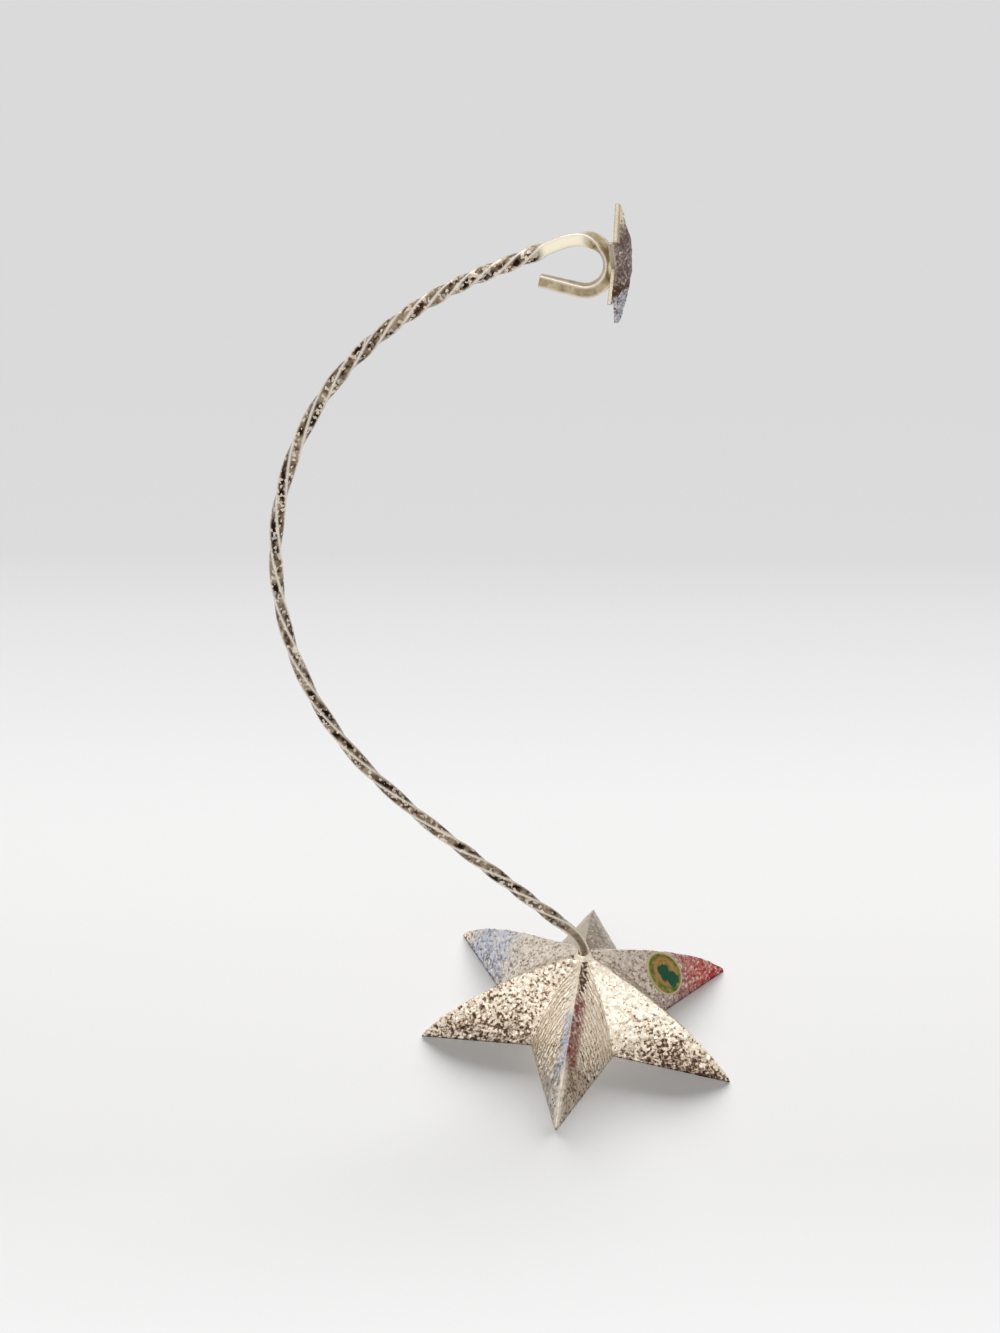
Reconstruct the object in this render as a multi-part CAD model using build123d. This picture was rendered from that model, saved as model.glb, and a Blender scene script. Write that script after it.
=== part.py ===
from build123d import *
import os
from math import atan2, ceil, cos, hypot, radians, sin, sqrt

# Ornament stand, in millimetres: a hollow six-pointed star stands on the table, a square bar,
# twisted along its length, rises from its apex in a large C and ends in a hook, and a small
# solid star is brazed to the outside of the hook.
# The origin is the centre of the big star on the table, with +Z up. The bar's centre line lies
# in the plane Y = 0, and +X is the way the small star faces.

# The big star, pressed from sheet and trimmed flat underneath. Its six arms start at the
# left front and go round towards the right: each is a little longer or shorter and leans a
# little to one side, as on the real, hand-finished one. The sheet is thicker at the crown,
# and the cut that rounds the tips stands a little outside the straight rims.
arm_names = ["left front", "front", "right front", "right back", "back", "left back"]
star_reach = 51.0
reach_extra = [0.2, 3.0, 2.4, -0.5, -3.0, -0.7]
first_arm = -147.6
arm_lean = [-2.5, -0.6, 1.5, 0.3, 1.2, -2.5]
corner_reach = 24.4
star_height = 19.9
facet_bulge = 3.0
sheet = 1.0
crown_sheet = 1.6
tip_round = 0.4
rim_clear = 0.05

# The small star, struck solid with a flat back and a plain edge, and seated a little way into
# the hook, which is filed flat for it
small_reach = 14.3
small_corner = 6.6
small_edge = 0.9
small_dome = 3.2
small_bulge = 0.6
small_tip_round = 0.25
small_tilt = 2.9
small_lift = 0.6
small_seat = 0.4

# The square bar, and the runs of its centre line from the foot to the hook's end
bar = 3.0
foot_sink = 2.0
foot_heading = 97.5
foot_radius = 11.5
foot_turn = 47.5
rise_length = 46.0
ease_radius = 195.0
ease_turn = 8.5
belly_radius = 87.0
belly_turn = 91.0
shoulder_radius = 107.0
shoulder_turn = 21.5
leg_length = 20.0
crook_radius = 15.0
crook_turn = 23.5
hook_radius = 6.0
hook_turn = 189.5
tail_length = 10.0

# The twist, left-handed: plain at the foot, tight above it, open through the belly and
# tightest below the hook. A quarter is the length in which the bar turns by 90 degrees.
plain_foot = 9.5
plain_leg = 7.5
quarter_turns = 23
foot_face = 154.0
leg_face = 186.0
lower_quarter = 10.5
middle_quarter = 15.0
upper_quarter = 6.6
start_ease = 5.0
lower_run = 40.0
upper_run = 86.0
upper_ease = 68.0

# Past the plain leg the bar turns back, so that another face lies along the hook's inside
turn_back = 68.0
turn_back_run = 8.0
tail_drift = 30.0

# How finely the bar's sections follow the twist and the bends, in degrees
section_turn = 24.0
section_bend = 12.0

# The two brazed joints: the pool round the foot ran forwards, reaches round behind the bar
# and stands out of the apex by half its height
braze_radius = 3.3
braze_height = 1.6
braze_forward = 0.8
small_braze_radius = 3.4
small_braze_top = 2.2
small_braze_height = 1.2

# The oval foil seal on one facet: which arm, and where its centre lies on that facet, along
# the rim from the inner corner and up the facet from the rim
seal_arm = "right back"
seal_length = 14.8
seal_width = 12.0
seal_thickness = 0.15
seal_along = 7.3
seal_up = 10.3
seal_turn = 24.7


def polar(reach, degrees_round):
    """The point of the plan at a distance from the centre and a direction."""
    return reach * cos(radians(degrees_round)), reach * sin(radians(degrees_round))


def star_outline(tips, corner, first):
    """Tips and inner corners in turn, anticlockwise: corner k lies between tips k and k + 1."""
    points = []
    for k, (reach, direction) in enumerate(tips):
        points.append(polar(reach, direction))
        points.append(polar(corner, first + 60 * k + 30))
    return points


def rim_edge(corner, tip):
    """A facet's rim: its corner, its direction to the tip, the way inwards, and how far inwards
    the star's centre lies."""
    length = hypot(tip[0] - corner[0], tip[1] - corner[1])
    along = ((tip[0] - corner[0]) / length, (tip[1] - corner[1]) / length)
    inward = (-along[1], along[0])
    depth = -(corner[0] * inward[0] + corner[1] * inward[1])
    if depth < 0:
        inward = (-inward[0], -inward[1])
        depth = -depth
    return corner, along, inward, depth


def facet_circle(depth, height, bulge):
    """The facet's round section from the rim to the apex: its radius and its centre."""
    chord = hypot(depth, height)
    radius = (chord**2 / 4 + bulge**2) / (2 * bulge)
    centre_x = depth / 2 + height / chord * (radius - bulge)
    centre_z = height / 2 - depth / chord * (radius - bulge)
    return radius, centre_x, centre_z


def facet_block(edge, height, bulge, skin, span):
    """All that lies under one facet, less a skin: its section, drawn along the rim."""
    corner, along, inward, depth = edge
    radius, centre_x, centre_z = facet_circle(depth, height, bulge)
    radius -= skin
    top = height - skin
    start = (centre_x - sqrt(radius**2 - centre_z**2), 0)
    end = (centre_x - sqrt(radius**2 - (top - centre_z) ** 2), top)
    middle_angle = (
        atan2(start[1] - centre_z, start[0] - centre_x)
        + atan2(end[1] - centre_z, end[0] - centre_x)
    ) / 2
    middle = (centre_x + radius * cos(middle_angle), centre_z + radius * sin(middle_angle))
    section = make_face(
        [
            ThreePointArc(start, middle, end),
            Polyline(end, (end[0] + span, top), (end[0] + span, 0), start),
        ]
    )
    across = Plane(
        origin=(corner[0], corner[1], 0),
        x_dir=(inward[0], inward[1], 0),
        z_dir=(inward[1], -inward[0], 0),
    )
    return extrude(across * section, span, both=True)


def star_block(tips, corner, first, height, bulge, skin=0.0):
    """The solid under a star's twelve facets, arm by arm, less a skin."""
    points = star_outline(tips, corner, first)
    span = 3 * max(reach for reach, direction in tips)
    arms = []
    for k, (reach, direction) in enumerate(tips):
        tip = points[2 * k]
        sides = [rim_edge(points[2 * k - 1], tip), rim_edge(points[2 * k + 1], tip)]
        arm = facet_block(sides[0], height, bulge, skin, span)
        arm = arm & facet_block(sides[1], height, bulge, skin, span)
        ahead = Plane.XY * Rot(0, 0, direction) * Pos(span / 2, 0, 0) * Box(span, span, span)
        arms.append(arm & ahead)
    block = arms[0]
    for arm in arms[1:]:
        block = block + arm
    return block


def star_plan(tips, corner, first, rounding, height, clear=0.0):
    """The star's plan, set out by a clearance, with its tips rounded and drawn up as a prism."""
    points = star_outline(tips, corner, first)
    plan = make_face(Polyline(*points, points[0]))
    if clear:
        plan = offset(plan, clear, kind=Kind.INTERSECTION)
    outermost = plan.vertices().sort_by(lambda vertex: hypot(vertex.X, vertex.Y))[-len(tips) :]
    return extrude(fillet(outermost, rounding), height)


def runs():
    """The centre line's runs as (length, turn to the left in degrees)."""
    return [
        (foot_radius * radians(foot_turn), foot_turn),
        (rise_length, 0),
        (ease_radius * radians(ease_turn), -ease_turn),
        (belly_radius * radians(belly_turn), -belly_turn),
        (shoulder_radius * radians(shoulder_turn), -shoulder_turn),
        (leg_length, 0),
        (crook_radius * radians(crook_turn), -crook_turn),
        (hook_radius * radians(hook_turn), -hook_turn),
        (tail_length, 0),
    ]


def line_at(distance):
    """The centre line's X, Z and heading at a distance from the foot."""
    x, z, heading = 0.0, star_height, radians(foot_heading)
    if distance < 0:
        return x + distance * cos(heading), z + distance * sin(heading), heading
    for length, turn in runs():
        step = min(distance, length)
        angle = radians(turn) * step / length
        if turn:
            radius = length / radians(turn)
            x += radius * (sin(heading + angle) - sin(heading))
            z -= radius * (cos(heading + angle) - cos(heading))
        else:
            x += step * cos(heading)
            z += step * sin(heading)
        heading += angle
        distance -= step
        if distance <= 0:
            break
    return x, z, heading


def eased(distance, start, end):
    """The area so far under a step that rises smoothly from 0 to 1 between start and end."""
    t = min(max((distance - start) / (end - start), 0), 1)
    return (end - start) * (t**3 - t**4 / 2) + max(distance - end, 0)


def smooth(distance, start, end):
    """A smooth rise from 0 to 1 between start and end."""
    t = min(max((distance - start) / (end - start), 0), 1)
    return t * t * (3 - 2 * t)


bar_length = sum(length for length, turn in runs())
leg_end = sum(length for length, turn in runs()[:6])
twist_end = leg_end - plain_leg / 2
turn_back_start = twist_end + plain_leg
full_twist = 90 * quarter_turns + leg_face - foot_face


def wound(distance):
    """How much twist lies below a distance, before it is scaled to the full twist."""
    lower_end = plain_foot + lower_run
    upper_start = twist_end - upper_run
    distance = min(distance, twist_end)
    return (
        eased(distance, plain_foot, plain_foot + start_ease) / lower_quarter
        + eased(distance, lower_end, lower_end + start_ease)
        * (1 / middle_quarter - 1 / lower_quarter)
        + eased(distance, upper_start, upper_start + upper_ease)
        * (1 / upper_quarter - 1 / middle_quarter)
    )


def face_angle(distance):
    """Which way one face of the bar looks: 90 degrees is the inside of the C, 180 is -Y."""
    angle = foot_face + full_twist * wound(distance) / wound(twist_end)
    angle -= turn_back * smooth(distance, turn_back_start, turn_back_start + turn_back_run)
    drift_start = turn_back_start + turn_back_run / 2
    return angle - tail_drift * max(distance - drift_start, 0) / (bar_length - drift_start)


def stations():
    """Distances along the bar, so close that neither the twist nor a bend steps too far."""
    marks = [-foot_sink, 0.0]
    for length, turn in runs():
        start = marks[-1]
        twist = abs(face_angle(start + length) - face_angle(start))
        count = max(1, ceil(twist / section_turn), ceil(abs(turn) / section_bend))
        marks += [start + length * (i + 1) / count for i in range(count)]
    return marks


def bar_section(distance):
    """The bar's square section, turned to its face angle."""
    x, z, heading = line_at(distance)
    inside = (sin(heading), -cos(heading))
    corners = []
    for k in range(4):
        angle = radians(face_angle(distance) + 45 + 90 * k)
        out = bar / sqrt(2)
        y = out * cos(angle)
        along_inside = out * sin(angle)
        corners.append((x + along_inside * inside[0], y, z + along_inside * inside[1]))
    return Wire.make_polygon(corners, close=True)


def hook_outside():
    """Where the outside of the hook reaches furthest along +X: the X and Z of its face."""
    start = sum(length for length, turn in runs()[:7])
    x, z, heading = line_at(start)
    side = start + hook_radius * (heading + radians(90))
    x, z, heading = line_at(side)
    return x + bar / 2, z


big_tips = [
    (star_reach + reach_extra[k], first_arm + 60 * k + arm_lean[k])
    for k in range(len(arm_names))
]
small_tips = [(small_reach, 90 + 60 * k) for k in range(len(arm_names))]


def make_star_base():
    """The pressed star: its outside less its hollow, which stops at a small flat crown."""
    outside = star_block(big_tips, corner_reach, first_arm, star_height, facet_bulge)
    rounded = star_plan(
        big_tips, corner_reach, first_arm, tip_round, star_height, clear=rim_clear
    )
    outside = outside & rounded
    hollow = star_block(big_tips, corner_reach, first_arm, star_height, facet_bulge, sheet)
    hollow = split(hollow, Plane.XY.offset(star_height - crown_sheet), keep=Keep.BOTTOM)
    return outside, outside - hollow


def make_hook_star():
    """The small star: a flat-backed plate with rounded facets on it, facing +X."""
    plate = star_plan(small_tips, small_corner, 90, small_tip_round, small_edge)
    dome = star_block(small_tips, small_corner, 90, small_dome, small_bulge)
    dome = dome & star_plan(small_tips, small_corner, 90, small_tip_round, small_dome)
    x, z = hook_outside()
    tilt = radians(small_tilt)
    back = Plane(
        origin=(x - small_seat, 0, z + small_lift),
        x_dir=(0, 1, 0),
        z_dir=(cos(tilt), 0, sin(tilt)),
    )
    return back * (plate + Pos(0, 0, small_edge) * dome), back


def make_arm(outside, hook_star):
    """The twisted bar, coped to the star under it and filed flat where the small star sits."""
    blank = Solid.make_loft([bar_section(distance) for distance in stations()], ruled=True)
    return blank - outside - hook_star


def make_base_braze(outside, arm):
    """The low pool of braze round the bar's foot."""
    rise = braze_height
    dome = (braze_radius**2 + rise**2) / (2 * rise)
    ball = Pos(0, 0, star_height + rise / 2 - dome) * Sphere(dome)
    core = Pos(0, 0, star_height - rise) * Cylinder(braze_radius, 4 * rise)
    return Pos(0, -braze_forward, 0) * (ball & core) - outside - arm


def make_hook_braze(back, arm):
    """The fillet of braze between the hook and the small star's back."""
    foot = Pos(0, -small_lift, -small_braze_height / 2)
    cone = Cone(small_braze_radius, small_braze_top, small_braze_height)
    return back * foot * Rot(180, 0, 0) * cone - arm


def make_foil_seal():
    """The oval foil on one facet, as thin as foil and bent to the facet's round."""
    points = star_outline(big_tips, corner_reach, first_arm)
    tip = 2 * arm_names.index(seal_arm)
    edge = rim_edge(points[tip - 1], points[tip])
    corner, along, inward, depth = edge
    radius, centre_x, centre_z = facet_circle(depth, star_height, facet_bulge)
    angle = atan2(-centre_z, -sqrt(radius**2 - centre_z**2)) - seal_up / radius
    inwards = centre_x + radius * cos(angle)
    middle = (
        corner[0] + seal_along * along[0] + inwards * inward[0],
        corner[1] + seal_along * along[1] + inwards * inward[1],
        centre_z + radius * sin(angle),
    )
    facing = (cos(angle) * inward[0], cos(angle) * inward[1], sin(angle))
    oval_plane = Plane(origin=middle, x_dir=(along[0], along[1], 0), z_dir=facing)
    oval = oval_plane * Rot(0, 0, seal_turn) * Ellipse(seal_width / 2, seal_length / 2)
    column = extrude(oval, seal_length / 2, both=True)
    span = 3 * star_reach
    foil = facet_block(edge, star_height, facet_bulge, -seal_thickness, span)
    return (foil - facet_block(edge, star_height, facet_bulge, 0.0, span)) & column


outside, star_base = make_star_base()
hook_star, back = make_hook_star()
arm = make_arm(outside, hook_star)
nodes = {
    "star_base": star_base,
    "arm": arm,
    "hook_star": hook_star,
    "base_braze": make_base_braze(outside, arm),
    "hook_braze": make_hook_braze(back, arm),
    "foil_seal": make_foil_seal(),
}
os.makedirs("parts", exist_ok=True)
for name, shape in nodes.items():
    export_step(shape, f"parts/{name}.step")
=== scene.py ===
"""Looks of an ornament stand: a hammered star on the table, a twisted square bar rising from it in
a large C to a hook, and a small star on the hook. All lengths are in metres."""
from math import atan2, cos, pi, radians, sin, sqrt, tan

import bpy
import numpy as np
from mathutils import Matrix, Vector


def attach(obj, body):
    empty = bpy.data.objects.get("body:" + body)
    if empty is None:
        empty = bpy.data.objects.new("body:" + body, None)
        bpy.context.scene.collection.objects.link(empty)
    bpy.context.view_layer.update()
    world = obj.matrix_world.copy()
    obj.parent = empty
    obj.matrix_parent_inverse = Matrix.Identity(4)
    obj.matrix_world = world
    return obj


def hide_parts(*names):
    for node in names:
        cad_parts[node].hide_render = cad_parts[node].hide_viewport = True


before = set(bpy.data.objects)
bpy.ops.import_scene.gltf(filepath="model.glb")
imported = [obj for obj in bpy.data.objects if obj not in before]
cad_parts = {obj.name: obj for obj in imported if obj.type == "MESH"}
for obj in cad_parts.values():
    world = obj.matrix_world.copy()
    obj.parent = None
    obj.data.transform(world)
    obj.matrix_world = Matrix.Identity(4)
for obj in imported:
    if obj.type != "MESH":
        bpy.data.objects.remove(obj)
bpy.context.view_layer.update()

mm = 0.001

# The big star, as the frame has it, with its directions in degrees
star_reach = 51.0 * mm
reach_extra = np.array([0.2, 3.0, 2.4, -0.5, -3.0, -0.7]) * mm
first_arm = -147.6
arm_step = 60
arm_lean = np.array([-2.5, -0.6, 1.5, 0.3, 1.2, -2.5])
corner_reach = 24.4 * mm
star_height = 19.9 * mm
facet_bulge = 3.0 * mm
sheet = 1.0 * mm
crown_sheet = 1.6 * mm
tip_round = 0.4 * mm
tip_wall = 3.0
left_front, front, right_front, right_back, back, left_back = range(6)

# The small star, whose crinkles are a little lower and closer than the big one's
small_reach = 14.3 * mm
small_first_arm = 90
small_corner = 6.6 * mm
small_edge = 0.9 * mm
small_dome = 3.2 * mm
small_bulge = 0.6 * mm
small_tip_round = 0.25 * mm
small_tilt = radians(2.9)
small_lift = 0.6 * mm
small_seat = 0.4 * mm
small_soft = 0.07 * mm
small_crinkle, small_pitch = 0.75, 0.8

# The bar: its section, its bends as (radius, turn) and the straight runs between them, its
# plain parts, its twist as the lengths of quarter turns, and its hammer dents
bar = 3.0 * mm
bar_round = 0.28 * mm
foot_heading = radians(97.5)
foot_sink = 1.0 * mm
foot_radius, foot_turn = 11.5 * mm, radians(47.5)
rise_length = 46.0 * mm
ease_radius, ease_turn = 195.0 * mm, radians(8.5)
belly_radius, belly_turn = 87.0 * mm, radians(91.0)
shoulder_radius, shoulder_turn = 107.0 * mm, radians(21.5)
leg_length = 20.0 * mm
crook_radius, crook_turn = 15.0 * mm, radians(23.5)
hook_radius, hook_turn = 6.0 * mm, radians(189.5)
tail_length = 10.0 * mm
plain_foot = 9.5 * mm
plain_leg = 7.5 * mm
quarter_turns = 23
foot_face = radians(154.0)
leg_face = radians(186.0)
lower_quarter = 10.5 * mm
middle_quarter = 15.0 * mm
upper_quarter = 6.6 * mm
start_ease = 5.0 * mm
lower_run = 40.0 * mm
upper_run = 86.0 * mm
upper_ease = 68.0 * mm
turn_back = radians(68.0)
turn_back_run = 8.0 * mm
tail_drift = radians(30.0)
dent_pitch, fine_dent_pitch = 2.6 * mm, 1.1 * mm
dent_height, dent_sink = 0.03 * mm, 0.02 * mm

# Where the leg and the crook end, as places in the list of marks along the centre line
leg_end, crook_end = 7, 8

# The oval foil seal on the right-hand back arm, and the brazed joints
seal_edge = 2 * right_back - 1
seal_length = 14.8 * mm
seal_width = 12.0 * mm
seal_thickness = 0.15 * mm
seal_along = 7.3 * mm
seal_up = 10.3 * mm
seal_turn = radians(24.7)
braze_radius = 3.3 * mm
braze_height = 1.6 * mm
braze_forward = 0.8 * mm

# How soft the pressed ridges are, how far apart and how high the sheet's crinkles stand, the
# grooves combed beside the front ridge, and the width by each rim over which all this fades
ridge_soft = 0.16 * mm
wave_pitch, wave_height = 5.2 * mm, 0.11 * mm
crease_pitch, crease_height = 1.9 * mm, 0.17 * mm
grain_pitch, grain_height = 0.95 * mm, 0.09 * mm
groove_pitch = 1.3 * mm
groove_slant = radians(43.0)
plain_rim, small_plain_rim = 1.5 * mm, 0.9 * mm

# The seeds of the crinkles and of the bar's dents
star_seed, small_seed, dent_seed = 3, 31, 11


def plain_colour(code):
    """A hex sRGB colour as the linear red, green, blue and alpha that shaders take."""
    parts = [int(code[i : i + 2], 16) / 255 for i in (1, 3, 5)]
    return [p / 12.92 if p <= 0.04045 else ((p + 0.055) / 1.055) ** 2.4 for p in parts] + [1.0]


def smooth(value, low, high):
    """A smooth rise from 0 at low to 1 at high."""
    t = np.clip((value - low) / (high - low), 0, 1)
    return t * t * (3 - 2 * t)


def lattice_noise(points, pitch, seed):
    """Random heights from -1 to 1 on a cubic lattice of the given pitch, blended smoothly
    between its eight nearest points."""
    side = 64
    table = np.random.default_rng(seed).uniform(-1, 1, (side, side, side))
    scaled = points / pitch
    cell = np.floor(scaled).astype(int)
    part = scaled - cell
    part = part * part * (3 - 2 * part)
    total = np.zeros(points.shape[:-1])
    for corner in np.ndindex(2, 2, 2):
        corner = np.array(corner)
        weight = np.prod(np.where(corner, part, 1 - part), axis=-1)
        index = (cell + corner) % side
        total += weight * table[index[..., 0], index[..., 1], index[..., 2]]
    return total


def crinkle(points, seed, size=1.0):
    """The hammered sheet's height: slow waves, sharp creases where a noise crosses zero, and a
    finer grain."""
    waves = wave_height * lattice_noise(points, wave_pitch * size, seed)
    creases = crease_height * (0.45 - 2 * abs(lattice_noise(points, crease_pitch * size, seed + 1)))
    grain = grain_height * lattice_noise(points, grain_pitch * size, seed + 2)
    return waves + creases + grain


def tube_faces(rows, columns, first_pole=True):
    """The faces of rows of points that close on themselves, outwards where the rows run
    anticlockwise seen from the last one, with a pole point after the rows and, if asked, one
    before them."""
    before = 1 if first_pole else 0
    row = np.arange(rows - 1)[:, None] * columns + before
    column = np.arange(columns)[None, :]
    following = (column + 1) % columns
    quads = (row + column, row + following, row + columns + following, row + columns + column)
    faces = np.stack(quads, axis=-1).reshape(-1, 4).tolist()
    column, following = column[0], following[0]
    if first_pole:
        faces += np.stack([0 * column, following + 1, column + 1], axis=-1).tolist()
    last = (rows - 1) * columns + before
    pole = 0 * column + last + columns
    return faces + np.stack([pole, last + column, last + following], axis=-1).tolist()


def joined(*sets):
    """Sets of rows as one list of points or values. The first row's first one goes before them
    and the last row's first one after them, for the poles."""
    flat = [rows.reshape(-1, *rows.shape[2:]) for rows in sets]
    return np.concatenate([sets[0][:1, 0], *flat, sets[-1][-1:, 0]])


def make_mesh(name, points, faces, material, **attributes):
    """A finished piece at the origin from its points and faces, with an attribute on its points
    for each name given: one number each, or four as a colour."""
    mesh = bpy.data.meshes.new(name)
    mesh.from_pydata(points.reshape(-1, 3).tolist(), [], faces)
    for key, values in attributes.items():
        if values.shape[-1:] == (4,) and values.ndim > 1:
            layer = mesh.attributes.new(key, "FLOAT_COLOR", "POINT")
            layer.data.foreach_set("color", values.reshape(-1).astype(np.float32))
        else:
            layer = mesh.attributes.new(key, "FLOAT", "POINT")
            layer.data.foreach_set("value", values.reshape(-1).astype(np.float32))
    mesh.materials.append(material)
    piece = bpy.data.objects.new(name, mesh)
    bpy.context.collection.objects.link(piece)
    mesh.polygons.foreach_set("use_smooth", [True] * len(mesh.polygons))
    return piece


def add_node(tree, kind, sockets=None, stops=(), **settings):
    """Adds a shader node and gives its outputs. The sockets, by name or number, are joined to
    other nodes' outputs or set to constants: 1 to 4 of a Map Range are the range it reads and
    the one it gives, and 0, 6 and 7 of a Mix its factor and two colours. The stops are a colour
    ramp's (place, hex colour) pairs, and the settings are the node's own properties."""
    node = tree.nodes.new("ShaderNode" + kind)
    for key, value in settings.items():
        setattr(node, key, value)
    for key, value in (sockets or {}).items():
        if isinstance(value, bpy.types.NodeSocket):
            tree.links.new(value, node.inputs[key])
        else:
            node.inputs[key].default_value = value
    for _ in stops[2:]:
        node.color_ramp.elements.new(0.5)
    for element, (place, code) in zip(node.color_ramp.elements if stops else (), stops):
        element.position = place
        element.color = plain_colour(code)
    return node.outputs


def new_material(name):
    """An empty node material and its tree."""
    material = bpy.data.materials.new(name)
    material.use_nodes = True
    material.node_tree.nodes.clear()
    return material, material.node_tree


# The big star's surface
def star_outline(tips, corner, first):
    """Tips and inner corners in turn, anticlockwise: corner k lies between tips k and k + 1."""
    points = []
    for k, (reach, direction) in enumerate(tips):
        between = radians(first + arm_step * (k + 0.5))
        points.append((reach * cos(radians(direction)), reach * sin(radians(direction))))
        points.append((corner * cos(between), corner * sin(between)))
    return np.array(points)


def facet_circles(outline, height, bulge, skin=0.0):
    """Each rim edge's facet: a point on the rim, the way inwards, and the radius and centre of
    the round section that rises from the rim to the apex, less a skin."""
    ahead = np.roll(outline, -1, axis=0) - outline
    along = ahead / np.linalg.norm(ahead, axis=1, keepdims=True)
    inward = np.stack([-along[:, 1], along[:, 0]], axis=1)
    depth = -np.sum(outline * inward, axis=1)
    chord = np.hypot(depth, height)
    radius = (chord**2 / 4 + bulge**2) / (2 * bulge)
    centre_x = depth / 2 + height / chord * (radius - bulge)
    centre_z = height / 2 - depth / chord * (radius - bulge)
    return {
        "rim": outline,
        "along": along,
        "inward": inward,
        "depth": depth,
        "radius": radius - skin,
        "centre_x": centre_x,
        "centre_z": centre_z,
    }


# The big star's tips as (reach, direction), its rim and its facets, for all that lies on it
star_tips = [
    (star_reach + reach_extra[k], first_arm + arm_step * k + arm_lean[k]) for k in range(6)
]
star_rim = star_outline(star_tips, corner_reach, first_arm)
star_facets = facet_circles(star_rim, star_height, facet_bulge)


def facet_heights(x, y, facets):
    """The height of every facet's round over points in the plan, facet by facet."""

    def each(values):
        return values.reshape((-1,) + (1,) * x.ndim)

    rim, inward = facets["rim"], facets["inward"]
    inwards = (x - each(rim[:, 0])) * each(inward[:, 0])
    inwards = inwards + (y - each(rim[:, 1])) * each(inward[:, 1])
    across = np.minimum(inwards, each(facets["depth"])) - each(facets["centre_x"])
    rise = np.sqrt(np.maximum(each(facets["radius"]) ** 2 - across**2, 0))
    return each(facets["centre_z"]) + rise


def star_surface(x, y, facets, tips, soft):
    """The star's height: the least of each arm's two facets, and the greatest of the arms, both
    softened so that ridges and valleys are slightly round. An arm counts only on its own side
    of the centre."""
    behind_centre, far_below = -1e-9, -1.0
    heights = facet_heights(x, y, facets)
    arms = []
    for k, (_, direction) in enumerate(tips):
        left, right = heights[(2 * k - 1) % len(heights)], heights[2 * k]
        low = np.minimum(left, right)
        low = low - soft * np.log1p(np.exp(-abs(left - right) / soft))
        ahead = x * cos(radians(direction)) + y * sin(radians(direction))
        arms.append(np.where(ahead >= behind_centre, low, far_below))
    arms = np.array(arms)
    high = arms.max(axis=0)
    return high + soft * np.log(np.exp((arms - high) / soft).sum(axis=0))


def rounded_edge(tip, corner, beyond, rounding, count):
    """Points along one rim edge, from its inner corner straight towards its tip and then along
    the arc that rounds the tip off, as far as the arm's axis."""
    side = (corner - tip) / np.linalg.norm(corner - tip)
    other_side = (beyond - tip) / np.linalg.norm(beyond - tip)
    half = np.arccos(side @ other_side) / 2
    inwards = (side + other_side) / np.linalg.norm(side + other_side)
    centre = tip + inwards * rounding / sin(half)
    touch = tip + side * rounding / tan(half)
    arc_count = count // 10
    straight = np.linspace(0, 1, count - arc_count, endpoint=False)[:, None]
    start = touch - centre
    end = -inwards * rounding
    swing = atan2(start[0] * end[1] - start[1] * end[0], start @ end)
    angle = np.linspace(0, swing, arc_count)[:, None]
    square = np.array([-start[1], start[0]])
    arc = centre + start * np.cos(angle) + square * np.sin(angle)
    return np.concatenate([corner + (touch - corner) * straight, arc])


def star_ring(outline, rounding, count):
    """The rim as one closed ring of points, anticlockwise, with the number of the edge that
    each point lies on."""
    ring, edges = [], []
    around = len(outline)
    for edge in range(around):
        start, end = outline[edge], outline[(edge + 1) % around]
        if edge % 2:
            points = rounded_edge(end, start, outline[(edge + 2) % around], rounding, count)
        else:
            points = rounded_edge(start, end, outline[edge - 1], rounding, count)[::-1]
        ring.append(points[:-1])
        edges.append(np.full(count - 1, edge))
    return np.concatenate(ring), np.concatenate(edges)


def inset_outline(facets):
    """The outline in which the facets' rounds, less their skin, come down to the table: each
    corner is where two neighbouring lines cross."""
    inward = facets["inward"]
    cut = facets["centre_x"] - np.sqrt(facets["radius"] ** 2 - facets["centre_z"] ** 2)
    reach = np.sum(inward * facets["rim"], axis=1) + cut
    before, before_reach = np.roll(inward, 1, axis=0), np.roll(reach, 1)
    cross = before[:, 0] * inward[:, 1] - before[:, 1] * inward[:, 0]
    x = (before_reach * inward[:, 1] - reach * before[:, 1]) / cross
    y = (before[:, 0] * reach - inward[:, 0] * before_reach) / cross
    return np.stack([x, y], axis=1)


def surface_rows(ring, shares, facets, tips, soft, top):
    """Rows of points on a star's surface: each row is the ring drawn in towards the centre, at
    the star's height, with a steep wall where the rounded tips cut the ridges. Also the way the
    surface faces, from its slope both ways."""
    plan = ring[None] * (1 - shares[:, None, None])
    x, y = plan[..., 0], plan[..., 1]
    from_rim = shares[:, None] * np.linalg.norm(ring, axis=1)[None]
    z = np.clip(star_surface(x, y, facets, tips, soft), 0, np.minimum(tip_wall * from_rim, top))
    step = 0.05 * mm
    slope_x = star_surface(x + step, y, facets, tips, soft)
    slope_x = (slope_x - star_surface(x - step, y, facets, tips, soft)) / (2 * step)
    slope_y = star_surface(x, y + step, facets, tips, soft)
    slope_y = (slope_y - star_surface(x, y - step, facets, tips, soft)) / (2 * step)
    facing = np.stack([-slope_x, -slope_y, np.ones_like(x)], axis=-1)
    facing /= np.linalg.norm(facing, axis=-1, keepdims=True)
    return np.stack([x, y, z], axis=-1), facing, from_rim


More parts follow.
